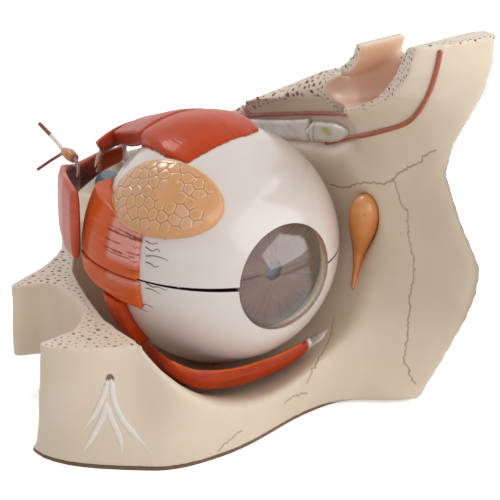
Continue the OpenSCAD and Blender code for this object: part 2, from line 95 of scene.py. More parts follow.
def pixels(points):
    """Where points lie in the picture."""
    offset = points - VIEWPOINT
    depth = -offset @ BACK
    return np.column_stack([MID_PX + FOCAL_PX * (offset @ RIGHT) / depth,
                            MID_PX - FOCAL_PX * (offset @ UP) / depth])


def place_camera():
    data = bpy.data.cameras.new("camera")
    data.sensor_width = SENSOR
    data.lens = FOCAL_PX / PHOTO_PX * SENSOR
    data.clip_start, data.clip_end = 0.05, 20.0
    camera = bpy.data.objects.new("camera", data)
    camera.matrix_world = Matrix(np.column_stack([RIGHT, UP, BACK]).tolist()).to_4x4()
    camera.matrix_world.translation = Vector(VIEWPOINT * MM)
    bpy.context.scene.collection.objects.link(camera)
    bpy.context.scene.camera = camera


# --- shapes -----------------------------------------------------------------------------------------

def smooth_line(points, steps):
    """Points of a smooth curve through the given ones, with so many steps between each two."""
    p = np.array(points, float)
    p = np.vstack([2 * p[0] - p[1], p, 2 * p[-1] - p[-2]])
    t = np.linspace(0, 1, steps, endpoint=False)[:, None]
    out = [0.5 * (2 * b + (c - a) * t + (2 * a - 5 * b + 4 * c - d) * t ** 2
                  + (3 * b - a - 3 * c + d) * t ** 3)
           for a, b, c, d in zip(p, p[1:], p[2:], p[3:])]
    return np.vstack(out + [p[-2:-1]])


def ease(x, low, high):
    """0 below low, 1 above high, smooth between."""
    t = np.clip((x - low) / (high - low), 0, 1)
    return t * t * (3 - 2 * t)


def lattice(i, j, seed):
    h = np.sin(i * 127.1 + j * 311.7 + seed * 74.7) * 43758.5453
    return h - np.floor(h)


def cloud(u, v, seed=0):
    """Smooth noise in the plane, 0 to 1, with one bump per unit."""
    i, j = np.floor(u), np.floor(v)
    a, b = ease(u - i, 0, 1), ease(v - j, 0, 1)
    return ((lattice(i, j, seed) * (1 - a) + lattice(i + 1, j, seed) * a) * (1 - b)
            + (lattice(i, j + 1, seed) * (1 - a) + lattice(i + 1, j + 1, seed) * a) * b)


def cloud3(p, size, seed=0):
    """Noise in space, 0 to 1, with bumps of the given size in millimetres."""
    q = p / size
    return (cloud(q[:, 0] + 0.37 * q[:, 2], q[:, 1] - 0.29 * q[:, 2], seed)
            + cloud(q[:, 1] + 0.31 * q[:, 0], q[:, 2] + 0.23 * q[:, 1], seed + 5)
            + cloud(q[:, 2] - 0.27 * q[:, 1], q[:, 0] + 0.33 * q[:, 2], seed + 9)) / 3


def piece(name, points, faces, material, body, node=(), slot=None, smooth=True, marks=None):
    """A mesh piece of points in millimetres that rides on a body and stands for CAD nodes."""
    mesh = bpy.data.meshes.new(name)
    mesh.from_pydata((np.asarray(points) * MM).tolist(), [], [list(map(int, f)) for f in faces])
    mesh.validate()
    mesh.polygons.foreach_set("use_smooth", [smooth] * len(mesh.polygons))
    for mark, values in (marks or {}).items():
        mesh.attributes.new(mark, "FLOAT", "POINT").data.foreach_set("value", np.asarray(values, np.float32))
    mesh.materials.append(material)
    obj = bpy.data.objects.new(name, mesh)
    bpy.context.scene.collection.objects.link(obj)
    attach(obj, body)
    if node:
        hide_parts(*([node] if isinstance(node, str) else node))
    return obj


def welded(mesh):
    """The mesh opened for editing, with the points that lie on each other made one."""
    bm = bmesh.new()
    bm.from_mesh(mesh)
    bmesh.ops.remove_doubles(bm, verts=bm.verts, dist=WELD * MM)
    return bm


class Skin:
    """A mesh as arrays in millimetres, to be carved and then made a piece."""

    def __init__(self, points, faces):
        self.points = np.array(points, float)
        self.faces = faces
        self.edges = None

    @classmethod
    def of_nodes(cls, names, voxel):
        """The CAD nodes joined and remade with even small faces."""
        helpers = []
        for name in names:
            helper = bpy.data.objects.new("join", NODES[name].data.copy())
            bpy.context.scene.collection.objects.link(helper)
            bm = welded(helper.data)
            bm.to_mesh(helper.data)
            bm.free()
            helpers.append(helper)
        for other in helpers[1:]:
            union = helpers[0].modifiers.new("union", "BOOLEAN")
            union.operation, union.object, union.solver = "UNION", other, "MANIFOLD"
        remesh = helpers[0].modifiers.new("remesh", "REMESH")
        remesh.mode, remesh.voxel_size = "VOXEL", voxel * MM
        bpy.context.view_layer.update()
        graph = bpy.context.evaluated_depsgraph_get()
        mesh = bpy.data.meshes.new_from_object(helpers[0].evaluated_get(graph))
        skin = cls.of_mesh(mesh)
        for helper in helpers:
            data = helper.data
            bpy.data.objects.remove(helper)
            bpy.data.meshes.remove(data)
        bpy.data.meshes.remove(mesh)
        return skin

    @classmethod
    def of_mesh(cls, mesh, unit=MM):
        points = np.zeros(len(mesh.vertices) * 3)
        mesh.vertices.foreach_get("co", points)
        return cls(points.reshape(-1, 3) / unit, [tuple(p.vertices) for p in mesh.polygons])

    def links(self):
        if self.edges is None:
            pairs = np.array([(f[k], f[(k + 1) % len(f)]) for f in self.faces for k in range(len(f))])
            self.edges = np.unique(np.sort(pairs, axis=1), axis=0)
        return self.edges

    def relax(self, rounds, weight=1.0, holds=()):
        """Each point moves towards the middle of its neighbours, but not along the ways that hold it."""
        a, b = self.links().T
        n = len(self.points)
        count = np.bincount(a, minlength=n) + np.bincount(b, minlength=n)
        share = (np.broadcast_to(weight, n) * 0.6)[:, None]
        for _ in range(rounds):
            total = np.column_stack([np.bincount(a, self.points[b, k], n)
                                     + np.bincount(b, self.points[a, k], n) for k in range(3)])
            step = share * (total / np.maximum(count, 1)[:, None] - self.points)
            for hold in holds:
                step -= np.einsum("ij,ij->i", step, hold)[:, None] * hold
            self.points += step

    def normals(self):
        tri = np.array([(f[0], f[k], f[k + 1]) for f in self.faces for k in range(1, len(f) - 1)])
        p = self.points
        n = np.cross(p[tri[:, 1]] - p[tri[:, 0]], p[tri[:, 2]] - p[tri[:, 0]])
        out = np.column_stack([sum(np.bincount(tri[:, c], n[:, k], len(p)) for c in range(3))
                               for k in range(3)])
        return out / np.maximum(np.linalg.norm(out, axis=1), 1e-12)[:, None]

    def refine(self, chosen):
        """Splits the faces round the chosen points, chosen being a function of the points."""
        mesh = bpy.data.meshes.new("refine")
        mesh.from_pydata(self.points.tolist(), [], self.faces)
        bm = bmesh.new()
        bm.from_mesh(mesh)
        hit = chosen(self.points)
        edges = [e for e in bm.edges if hit[e.verts[0].index] and hit[e.verts[1].index]]
        bmesh.ops.subdivide_edges(bm, edges=edges, cuts=1, use_grid_fill=True)
        bm.to_mesh(mesh)
        bm.free()
        split = Skin.of_mesh(mesh, 1.0)
        self.points, self.faces, self.edges = split.points, split.faces, None
        bpy.data.meshes.remove(mesh)

    def tree(self):
        return BVHTree.FromPolygons([Vector(p) for p in self.points], self.faces)

    def carve(self, line, reach, depth):
        """Sinks the points within reach of the line's points, deepest on the line, and marks them."""
        far = nearest_gap(self.points, line, reach)
        sunk = 1 - ease(far, 0, reach)
        self.points -= self.normals() * (sunk * depth)[:, None]
        return 1 - ease(far, 0.35 * reach, reach)


def nearest_gap(points, centres, limit):
    """Distance from each point to the nearest centre, or the limit where all are farther."""
    index = KDTree(len(points))
    for k, p in enumerate(points):
        index.insert(p, k)
    index.balance()
    gap = np.full(len(points), float(limit))
    for c in centres:
        for _, k, d in index.find_range(c, limit):
            gap[k] = min(gap[k], d)
    return gap


def line_gap(points, line):
    """Distance from each point to a broken line, in as many dimensions as they have."""
    line = np.array(line, float)
    gap = np.full(len(points), 1e9)
    for a, b in zip(line, line[1:]):
        t = np.clip((points - a) @ (b - a) / ((b - a) @ (b - a)), 0, 1)
        gap = np.minimum(gap, np.linalg.norm(points - a - t[:, None] * (b - a), axis=1))
    return gap


def inside(points, outline):
    """Whether each point of the plane lies in the closed outline."""
    x, y = points.T
    within = np.zeros(len(points), bool)
    for (ax, ay), (bx, by) in zip(outline, outline[1:] + outline[:1]):
        if ay != by:
            within ^= ((ay > y) != (by > y)) & (x < (bx - ax) * (y - ay) / (by - ay) + ax)
    return within


# --- materials --------------------------------------------------------------------------------------

def rgba(code):
    """An sRGB hex colour in linear light."""
    parts = [int(code[k:k + 2], 16) / 255 for k in (1, 3, 5)]
    return [c / 12.92 if c <= 0.04045 else ((c + 0.055) / 1.055) ** 2.4 for c in parts] + [1.0]


def add(tree, kind, links=None, **settings):
    """Adds a node with its settings and what its sockets take, values or other nodes' outputs."""
    made = tree.nodes.new("ShaderNode" + kind)
    for key, value in settings.items():
        setattr(made, key, value)
    for socket, value in (links or {}).items():
        if isinstance(value, bpy.types.NodeSocket):
            tree.links.new(value, made.inputs[socket])
        else:
            made.inputs[socket].default_value = value
    return made


def per_mm(size):
    """Texture scale at which one bump is the given size in millimetres."""
    return 1 / (size * MM)


def material(name, paint, tones=(), mottle=("#FFFFFF", 0.0, 10.0), grain=(0.3, 0.02), roughness=0.4, **more):
    """A painted or cast surface. paint is its ground colour, tones are (mark, colour) laid over it in turn,
    mottle is (colour, share, patch in mm), grain is (size, height) of its fine relief in mm."""
    made = bpy.data.materials.new(name)
    made.use_nodes = True
    tree = made.node_tree
    shader = tree.nodes["Principled BSDF"]
    place = add(tree, "TexCoord").outputs["Object"]
    patches = add(tree, "TexNoise", {"Vector": place, "Scale": per_mm(mottle[2]), "Detail": 3.0}).outputs[0]
    patches = add(tree, "MapRange", {"Value": patches, "From Min": 0.35, "From Max": 0.7,
                                     "To Max": mottle[1]}).outputs[0]
    colour = add(tree, "Mix", {0: patches, 6: rgba(paint), 7: rgba(mottle[0])}, data_type="RGBA").outputs[2]
    for mark, tone in tones:
        share = add(tree, "Attribute", attribute_name=mark).outputs["Fac"]
        colour = add(tree, "Mix", {0: share, 6: colour, 7: rgba(tone)}, data_type="RGBA").outputs[2]
    tree.links.new(colour, shader.inputs["Base Color"])
    fine = add(tree, "TexNoise", {"Vector": place, "Scale": per_mm(grain[0]), "Detail": 2.0}).outputs[0]
    bump = add(tree, "Bump", {"Height": fine, "Distance": grain[1] * MM, "Strength": 1.0})
    tree.links.new(bump.outputs[0], shader.inputs["Normal"])
    shader.inputs["Roughness"].default_value = roughness
    for socket, value in more.items():
        shader.inputs[socket.replace("_", " ")].default_value = value
    return made


# Satin enamel on a hard PVC casting: cream, with paler sawn faces whose cells are filled in dark red-brown;
# the brownish pink deep in the socket and the dark in the small opening on the cheek are painted shade
BONE = material("satin_enamel_bone", "#E1D1BB",
                [("pink", "#E6BBA0"), ("inner", "#C9A288"), ("cut", "#E3D3BE"), ("seam", "#A68B74"),
                 ("pore", "#6F4636"), ("cell", "#A9603F")],
                mottle=("#D6C4AB", 0.5, 22.0), grain=(0.9, 0.03), roughness=0.4, Coat_Weight=0.2,
                Coat_Roughness=0.3)
# Dyed wool felt under the casting: dull brown, hairy
FELT = material("brown_wool_felt", "#7A5A3C", mottle=("#5E432C", 0.7, 1.2), grain=(0.35, 0.25),
                roughness=0.95, Sheen_Weight=0.3, Sheen_Roughness=0.6)
# Orange-red lacquer on soft PVC, brushed darker between the fibres and pink at the insertions: wet gloss; its
# paler mark is also painted light on the lateral belly and a painted highlight on the oblique's ridge, its
# darker mark a painted shade on the oblique
MUSCLE = material("lacquered_pvc_muscle", "#C4430F",
                  [("pink", "#E49A8C"), ("pale", "#E0682E"), ("dark", "#7E2412"), ("white", "#E4D9D1")],
                  mottle=("#B2370C", 0.6, 9.0), grain=(0.5, 0.02), roughness=0.3, Specular_IOR_Level=0.12,
                  Coat_Weight=0.15, Coat_Roughness=0.06)
# The same lacquer on the rear bellies, over a pinker ground that is a painted reflection; their inner sides
# get a painted shade
SHEENED_MUSCLE = material("lacquered_pvc_muscle_painted_sheen", "#BC4222",
                  [("pale", "#D87C64"), ("dark", "#521C12"), ("line", "#C79A84")],
                  mottle=("#AE381E", 0.6, 10.0), grain=(0.5, 0.02), roughness=0.32, Specular_IOR_Level=0.15,
                  Coat_Weight=0.15, Coat_Roughness=0.08)
# White gloss enamel of the pulley's tendon
WHITE_TENDON = material("gloss_enamel_white_tendon", "#F0EBE6", [("dark", "#C9B6AB")],
                        mottle=("#E2D8D2", 0.6, 4.0), grain=(0.4, 0.02), roughness=0.3, Coat_Weight=0.4)
# Gloss enamel on a turned hollow ball: cool off-white, smooth; the faces inside the seam between the halves
# are near-black, a painted shade
SCLERA = material("gloss_enamel_sclera", "#E2D8D1", [("seam", "#2C201C")],
                  mottle=("#DBCDC6", 0.5, 18.0), grain=(1.2, 0.012), roughness=0.26, Coat_Weight=0.5,
                  Coat_Roughness=0.1)
# Vacuum-formed clear acrylic: polished dome with a faint grey cast
CORNEA = material("clear_acrylic_cornea", "#F4F5F4", grain=(3.0, 0.001), roughness=0.03, IOR=1.49,
                  Transmission_Weight=1.0, Coat_Weight=0.4, Coat_IOR=1.5)
# Cast acrylic lens with a milky tint: blue-grey behind the pupil
LENS = material("clear_acrylic_lens", "#74757C", grain=(3.0, 0.001), roughness=0.08, IOR=1.45,
                Transmission_Weight=0.3)
# Clear cast resin of the glass body: faintly blue
VITREOUS = material("clear_resin_vitreous", "#E4EEF0", grain=(3.0, 0.001), roughness=0.05, IOR=1.34,
                    Transmission_Weight=1.0)
# Red-brown enamel with a net of vessels inside the ball
CHOROID = material("satin_enamel_choroid", "#8E3A26", mottle=("#5E2418", 0.9, 2.6), grain=(1.4, 0.06),
                   roughness=0.4)
# Red-brown taupe enamel brushed with fine darker rays; the near-black at the rim is a painted shadow
IRIS = material("painted_iris", "#8F6350", [("dark", "#55382E"), ("pale", "#A67C68"), ("rim", "#1E1614")],
                mottle=("#7E5443", 0.6, 4.0), grain=(0.3, 0.02), roughness=0.4)
# Blue-grey satin enamel with fine lengthwise cords
OPTIC_NERVE = material("satin_enamel_optic_nerve", "#7F9CA6", [("dark", "#587580"), ("white", "#E4DCD4")],
                       mottle=("#93AEB5", 0.5, 3.0), grain=(0.4, 0.03), roughness=0.35)
# Enamelled wire, dipped in orange-brown, white and dark red along its length
NERVE = material("enamelled_wire_nerve", "#8B3524",
                 [("orange", "#C27A3A"), ("white", "#E4D8CE"), ("dark", "#4A1A16")],
                 mottle=("#7A2A1E", 0.5, 2.0), grain=(0.4, 0.02), roughness=0.3, Coat_Weight=0.4)
# White enamel line work, brushed on low relief
WHITE_NERVE = material("gloss_enamel_white_nerve", "#E9E0D8", mottle=("#DDD2C6", 0.5, 3.0),
                       grain=(0.4, 0.02), roughness=0.3)
# Orange-red gloss enamel on a thin round cord
ARTERY = material("gloss_enamel_artery", "#AE522C", mottle=("#9A4020", 0.6, 2.5), grain=(0.5, 0.02),
                  roughness=0.25, Coat_Weight=0.5)
# Pinker, older red of the arteries on the inner wall
PINK_ARTERY = material("gloss_enamel_pink_artery", "#B3605A", mottle=("#94433C", 0.6, 2.5),
                       grain=(0.5, 0.02), roughness=0.28, Coat_Weight=0.4)
# Translucent amber PVC, pinkish on some cells; the cream on the raised edges of its cells is a painted
# highlight, and the dark in the sunk joints a painted shade
GLAND = material("amber_pvc_gland", "#D99C64",
                 [("pink", "#E0AA90"), ("edge_highlight", "#EECFA6"), ("dark", "#B98148")],
                 mottle=("#CD8E54", 0.5, 7.0), grain=(0.6, 0.02), roughness=0.22, Coat_Weight=0.5,
                 Coat_Roughness=0.08, Subsurface_Weight=0.08, Subsurface_Scale=0.002)
# Orange gloss enamel, with painted shade browner at the edge and a painted highlight paler at the top
SAC = material("gloss_enamel_tear_sac", "#D07F3A", [("dark", "#A85E2C"), ("pale", "#E9AB6C")],
               mottle=("#CD7C38", 0.5, 6.0), grain=(0.6, 0.02), roughness=0.25, Coat_Weight=0.5)
# Thin dark red-brown brush lines
VESSEL = material("brushed_dark_vessel", "#6E3A34", mottle=("#4C2A28", 0.5, 2.0), grain=(0.4, 0.01))
# Grey-white gloss enamel on the pulley, yellow-green at its middle
CARTILAGE = material("gloss_enamel_cartilage", "#E2DCD3", [("green", "#B7B672"), ("dark", "#B49A8C")],
                     mottle=("#C8BEB2", 0.6, 3.0), grain=(0.5, 0.02), roughness=0.22, Coat_Weight=0.5)
# Turned steel pins, bright
STEEL = material("turned_steel", "#B9BCC0", mottle=("#9A9DA2", 0.4, 1.0), grain=(0.2, 0.004),
                 roughness=0.25, Metallic=1.0)


# --- bone -------------------------------------------------------------------------------------------

BONES = ["zygomatic_bone", "temporal_lobe", "maxilla", "nasal_bone", "frontal_bone", "ethmoid_wall",
         "sphenoid_bone"]
BONE_GRID = 1.1
# the top of the middle slab as (y, height at the midline, fall in 16 mm towards the socket)
TOP_LINE = np.array([(-115, 187, 0), (-100, 187, 0), (-60, 174, 0), (-46, 172, 0), (-43, 166, 0),
                     (-36, 160, 0), (-26, 155, 0.2), (-22, 153.3, 1), (-12, 149.2, 8.5), (0, 144, 10),
                     (30, 128, 7), (61, 110, 1.5), (107, 81, 0), (150, 56.5, 0)])
TOP_SPAN = 16.0
# the hollow of the frontal sinus seen from the side, as (y, z); above its wall it is open to the midline
SINUS = [(-97, 200), (-92.5, 184), (-86, 173), (-77, 163), (-66, 154), (-53, 147), (-41, 141), (-28, 137),
         (-16, 134.5), (-9, 135), (-6, 138), (-9, 142), (-18, 146), (-30, 151), (-40, 156.5), (-47, 163),
         (-50.5, 171), (-52, 200)]
SINUS_BACK = MID_X - 5
SINUS_WALL_TOP = 164
# where the sawn faces show spongy cells, as pixels of the picture: behind the sinus and in front of it
SPONGY_REAR = [(226, 112), (250, 93), (282, 82), (314, 74), (330, 69), (342, 64), (352, 56), (358, 47),
               (362, 38), (400, 30), (414, 32), (413, 44), (363, 48), (359, 61), (352, 72), (341, 79),
               (327, 84), (322, 90), (331, 100), (343, 107), (356, 109), (352, 113), (341, 111), (330, 106),
               (319, 100), (309, 95), (296, 97.5), (282, 101), (266, 106), (250, 111)]
SPONGY_FRONT = [(352, 113), (374, 109), (393, 97), (405, 81), (411, 65), (416, 52), (418, 45), (500, 33),
                (500, 40), (418, 47), (401, 47), (389, 69), (376, 86), (362, 102), (350, 109)]
# the band behind the sinus whose cells are largest
BIG_CELLS = [(240, 106), (257, 102), (274, 93), (292, 88), (309, 87), (317, 80)]
SUTURES = {
    "nasomaxillary": [(392, 179), (396, 188.5), (401.5, 204), (407, 213), (407.5, 225), (410.6, 249),
                      (413.6, 259), (413.6, 273), (409.4, 296), (410, 311), (407.8, 320), (407, 339),
                      (404.7, 360), (409, 371), (415, 385)],
    "frontonasal": [(392, 179), (398, 174), (406, 169), (412, 166), (420, 162), (424.5, 156), (438, 149)],
    "frontolacrimal": [(392, 179), (383, 184), (376, 183), (360, 183), (349, 187), (342, 188.5),
                       (330, 184)],
    "zygomaticomaxillary": [(333, 320), (326.5, 344), (317, 360), (311, 373), (305, 385.5)],
    "infraorbital": [(306, 393), (290, 399), (282, 405)],
    "cheek": [(242, 430), (235, 436), (226, 443), (220, 449), (215, 454)],
}
FORAMEN_PX = [(107.5, 379.5), (108.6, 376.8), (110.5, 376.2), (112, 378.5)]
CHEEK_X = -28                         # the level cut lies outside this
BROW_BOTTOM, BROW_REAR = 121, -1      # the brow's cut lies above and in front of these
SLAB_X = 7                            # the top face lies inside this
SOCKET_MID, SOCKET_RADII = (0, 10, 76), (60, 95, 62)
NO_FACE = 99                          # distance given where a face doesn't reach


def top_height(x, y):
    """Height of the top of the middle slab."""
    middle, fall = (np.interp(y, TOP_LINE[:, 0], TOP_LINE[:, k]) for k in (1, 2))
    return middle + (x - MID_X) / TOP_SPAN * fall


def sawn_faces(p):
    """Signed distance of each point from the sawn faces of the cheek, the brow and the top, and the way each
    face looks."""
    x, y, z = p.T
    brow = np.array([1, -BROW_CUT[1], 0]) / math.hypot(1, BROW_CUT[1])
    dx = top_height(x + 0.5, y) - top_height(x - 0.5, y)
    dy = top_height(x, y + 0.5) - top_height(x, y - 0.5)
    top = np.column_stack([-dx, -dy, np.ones(len(p))])
    top /= np.linalg.norm(top, axis=1)[:, None]
    up = np.broadcast_to([0.0, 0.0, 1.0], p.shape)
    return [(np.where(x < CHEEK_X, z - CUT_Z, NO_FACE), up),
            (np.where((z > BROW_BOTTOM) & (y < BROW_REAR),
                      (x - BROW_CUT[0] - BROW_CUT[1] * y) * brow[0], NO_FACE),
             np.broadcast_to(brow, p.shape)),
            (np.where(x > SLAB_X, (z - top_height(x, y)) * top[:, 2], NO_FACE), top)]


def cast_faces(p):
    """The same for the flat faces that aren't sawn: base, middle of the nose and rear."""
    return [(p[:, k] - place, np.broadcast_to(np.eye(3)[k], p.shape))
            for k, place in ((2, FELT_T), (0, MID_X), (1, REAR_Y))]


def face_gap(faces):
    return np.min([abs(gap) for gap, _ in faces], axis=0)


def cut_gap(p):
    return face_gap(sawn_faces(p))


def plane_gap(p):
    return face_gap(cast_faces(p))


def on_bone(tree, px, lift=0.0):
    """The place on the bone that a pixel of the picture shows, lifted off it."""
    place, normal = tree.ray_cast(Vector(VIEWPOINT), Vector(sight(*px)))[:2]
    return np.array(place) + np.array(normal) * lift


def suture_path(tree, places, draw):
    """An uneven line on the bone through the places that the pixels show."""
    line = smooth_line([on_bone(tree, px) for px in places], 40)
    reach = np.concatenate([[0], np.cumsum(np.linalg.norm(np.diff(line, axis=0), axis=1))])
    steps = np.arange(0, reach[-1], 1.3)
    path = np.column_stack([np.interp(steps, reach, line[:, k]) for k in range(3)])
    path += draw.uniform(-0.6, 0.6, path.shape)
    fine = np.vstack([a + (b - a) * t for a, b in zip(path, path[1:]) for t in (0, 0.33, 0.67)])
    return np.array([tree.find_nearest(Vector(p))[0] for p in fine])


def spread(places, size, room, draw):
    """Picks places in random order that leave room between cells; size gives each one's radius in mm."""
    taken, cells = {}, []
    reach = 2 * size.max() + room.max()
    for k in draw.permutation(len(places)):
        c, r = places[k], size[k]
        key = tuple((c // reach).astype(int))
        near = [q for i in (-1, 0, 1) for j in (-1, 0, 1) for m in (-1, 0, 1)
                for q in taken.get((key[0] + i, key[1] + j, key[2] + m), [])]
        if all(np.linalg.norm(c - q[0]) > room[k] + r + q[1] for q in near):
            taken.setdefault(key, []).append((c, r))
            cells.append((c, r))
    return cells


def make_bone():
    draw = np.random.default_rng(11)
    skin = Skin.of_nodes(BONES, BONE_GRID)
    p = skin.points
    # behind the sinus the slope is rounded as a whole
    sloping = inside(pixels(p), SPONGY_REAR) & (p[:, 0] < MID_X - 4) & (p[:, 2] > 88) & (p[:, 1] > -18)
    rest = ease(np.minimum(cut_gap(p), plane_gap(p)), 0.4, 3.5)
    skin.relax(45, np.where(sloping, 1.0, rest))
    # the flat faces keep flat while their edges lose the steps of the grid
    sawn, cast = sawn_faces(skin.points), cast_faces(skin.points)
    held = [normal * ((abs(gap) < 0.7) & ~sloping)[:, None] for gap, normal in sawn + cast]
    skin.relax(9, ease(4.0 - face_gap(sawn + cast[1:]), 0, 2) * ease(skin.points[:, 2], 4, 8), held)
    for gap, normal in sawn_faces(skin.points):
        skin.points -= normal * (gap * (abs(gap) < 0.35) * ~sloping)[:, None]
    skin.points = np.clip(skin.points, *(np.array(CAD_BOX) / MM))
    tree = skin.tree()
    lines = np.vstack([suture_path(tree, px, draw) for px in SUTURES.values()])
    foramen = np.vstack([on_bone(tree, px) for px in smooth_line(FORAMEN_PX, 3)])
    fine = np.vstack([lines[::2], foramen])
    skin.refine(lambda p: nearest_gap(p, fine, 2.2) < 2.2)

    def pinkness(p):
        """How far points are inside the painted hollow of the sinus."""
        side = p[:, 1:]
        back = np.where(p[:, 2] > SINUS_WALL_TOP - 0.6, MID_X, SINUS_BACK)
        painted = np.maximum(inside(side, SINUS), ease(1.9 - line_gap(side, SINUS), 0, 0.8))
        return painted * (p[:, 0] < back + 0.7) * ease(cut_gap(p), 0.1, 0.9)

    def spongy(p):
        """Which points lie where cells show: 1 on the cheek, 2 round the sinus."""
        cheek = (abs(p[:, 2] - CUT_Z) < 0.7) & (p[:, 0] < CHEEK_X)
        seen = pixels(p)
        shown = (inside(seen, SPONGY_REAR) | inside(seen, SPONGY_FRONT)) & (p[:, 2] > 88) & (p[:, 0] > 25)
        return np.where(cheek, 1, np.where(shown & (pinkness(p) < 0.3), 2, 0)) * (plane_gap(p) > 0.3)

    skin.refine(lambda p: (spongy(p) > 0) | (nearest_gap(p, fine, 1.6) < 1.6))
    skin.refine(lambda p: spongy(p) > 0)
    p = skin.points
    kind = spongy(p)
    facing = skin.normals() @ BACK > 0.05
    inner = (kind > 0) & facing
    a, b = skin.links().T
    # cells keep clear of the rims: nine points on the cheek, four round the sinus
    for step in range(9):
        edge = ~inner
        keep = (kind != 2) | (step < 4)
        inner[a[edge[b] & keep[a]]] = False
        inner[b[edge[a] & keep[b]]] = False
    chosen = np.flatnonzero(inner)
    big = ease(11.0 - line_gap(pixels(p[chosen]), BIG_CELLS), 0, 6) * (kind[chosen] == 2)
    on_cheek = kind[chosen] == 1
    chance = draw.random(len(chosen))
    size = np.where(on_cheek, 0.42 + 0.45 * chance ** 2,
                    0.36 + 0.26 * chance + big * (0.3 + 0.7 * chance ** 2))
    room = np.where(on_cheek, 1.9, 1.1 + 0.3 * big)
    index = KDTree(len(p))
    for k, q in enumerate(p):
        index.insert(q, k)
    index.balance()
    pore, cell, sunk = np.zeros(len(p)), np.zeros(len(p)), np.zeros(len(p))
    for c, r in spread(p[chosen], size, room, draw):
        stretch = draw.uniform(0.55, 1.3, 3)
        paint = cell if r > 0.62 and c[0] > 0 else pore
        for q, k, _ in index.find_range(c, 1.7 * r + 0.2):
            d = np.linalg.norm((np.array(q) - c) * stretch) / r
            sunk[k] = max(sunk[k], (1 - ease(d, 0.5, 1.1)) * r / 0.5)
            paint[k] = max(paint[k], 1 - ease(d, 0.75, 1.15))
    skin.points -= skin.normals() * (sunk * 0.7)[:, None]
    seam = skin.carve(lines, 0.62, 0.3)
    # painted shade: the shallow dent of the small opening on the cheek is painted dark red-brown, as if it
    # were deep
    pore = np.maximum(pore, 0.8 * skin.carve(foramen, 1.3, 1.2))
    # painted shade: the bone turns darker brownish pink towards the back of the socket, deep inside it
    hollow = np.linalg.norm((p - SOCKET_MID) / SOCKET_RADII, axis=1)
    socket_shade = ease(p[:, 1], -12, 50) * (hollow < 1.05) * (cut_gap(p) > 0.6) * (p[:, 0] < MID_X - 1) * 0.8
    cut = np.where(kind > 0, 1.0, ease(0.9 - cut_gap(p), 0, 0.5))
    made = piece("bone", skin.points, skin.faces, BONE, "orbit", BONES, "bone",
                 marks={"cut": cut, "pore": pore, "cell": cell, "seam": seam * 0.8, "pink": pinkness(p) * 0.9,
                        "inner": socket_shade * (kind == 0)})
    made.data.set_sharp_from_angle(angle=math.radians(55))
    return skin.tree()


def make_felt():
    """The felt, cut a little smaller than the foot of the bone."""
    skin = Skin.of_mesh(NODES["base_felt"].data)
    p = skin.points
    middle = np.array([-10.0, 45.0])
    p[:, :2] = middle + (p[:, :2] - middle) * (0.992, 0.994)
    piece("dressed_base_felt", p, skin.faces, FELT, "orbit", "base_felt", "felt", smooth=False)


# --- the eyeball ------------------------------------------------------------------------------------

def make_iris(name, node, body, up):
    """Half of the iris disc, its front brushed and cut with fine rays that fork towards the rim, which is
    painted near-black as a shadow.
    """
    turns, rings = 720, 40
    side = 1 if up else -1
    a, s = np.meshgrid(np.linspace(0, math.pi, turns), np.linspace(0, 1, rings), indexing="ij")
    r = PUPIL_R + 0.1 + (IRIS_R - PUPIL_R - 0.1) * s
    ray = 0.55 * cloud(a * 34, s * 1.6, 3 + up) + 0.45 * cloud(a * 75, s * 3.0, 7 + up)
    groove = ease(ray, 0.56, 0.85) * ease(s, 0.04, 0.2)
    y = IRIS_Y + 0.22 * groove + 0.25 * ease(s, 0.12, 0)
    front = np.stack([r * np.cos(a), y, EYE[2] + side * (HALF_GAP + r * np.sin(a))], axis=-1)
    back = front.copy()
    back[..., 1] = IRIS_Y + IRIS_T
    # the rim turns near-black: a painted shadow where the disc sits deep behind the window's edge
    marks = {"dark": groove * 0.75, "pale": ease(ray, 0.5, 0.2) * 0.4 * ease(s, 0, 0.4),
             "rim": ease(s, 0.84, 0.95)}
    piece(name, np.concatenate([front.reshape(-1, 3), back.reshape(-1, 3)]),
          closed_sheet(turns, rings, flip=not up), IRIS, body, node, "iris",
          marks={mark: np.tile(value.ravel(), 2) for mark, value in marks.items()})


def closed_sheet(rows, columns, flip=False):
    """Faces of a front grid, a back grid behind it and the rim between them."""
    half = rows * columns
    at = lambda i, j, back=0: back * half + i * columns + j
    faces = []
    for i in range(rows - 1):
        for j in range(columns - 1):
            faces.append((at(i, j), at(i + 1, j), at(i + 1, j + 1), at(i, j + 1)))
            faces.append((at(i, j, 1), at(i, j + 1, 1), at(i + 1, j + 1, 1), at(i + 1, j, 1)))
    rim = ([(i, 0) for i in range(rows - 1)] + [(rows - 1, j) for j in range(columns - 1)]
           + [(i, columns - 1) for i in range(rows - 1, 0, -1)] + [(0, j) for j in range(columns - 1, 0, -1)])
    for a, b in zip(rim, rim[1:] + rim[:1]):
        faces.append((at(*b), at(*a), at(*a, 1), at(*b, 1)))
    return [f[::-1] for f in faces] if flip else faces


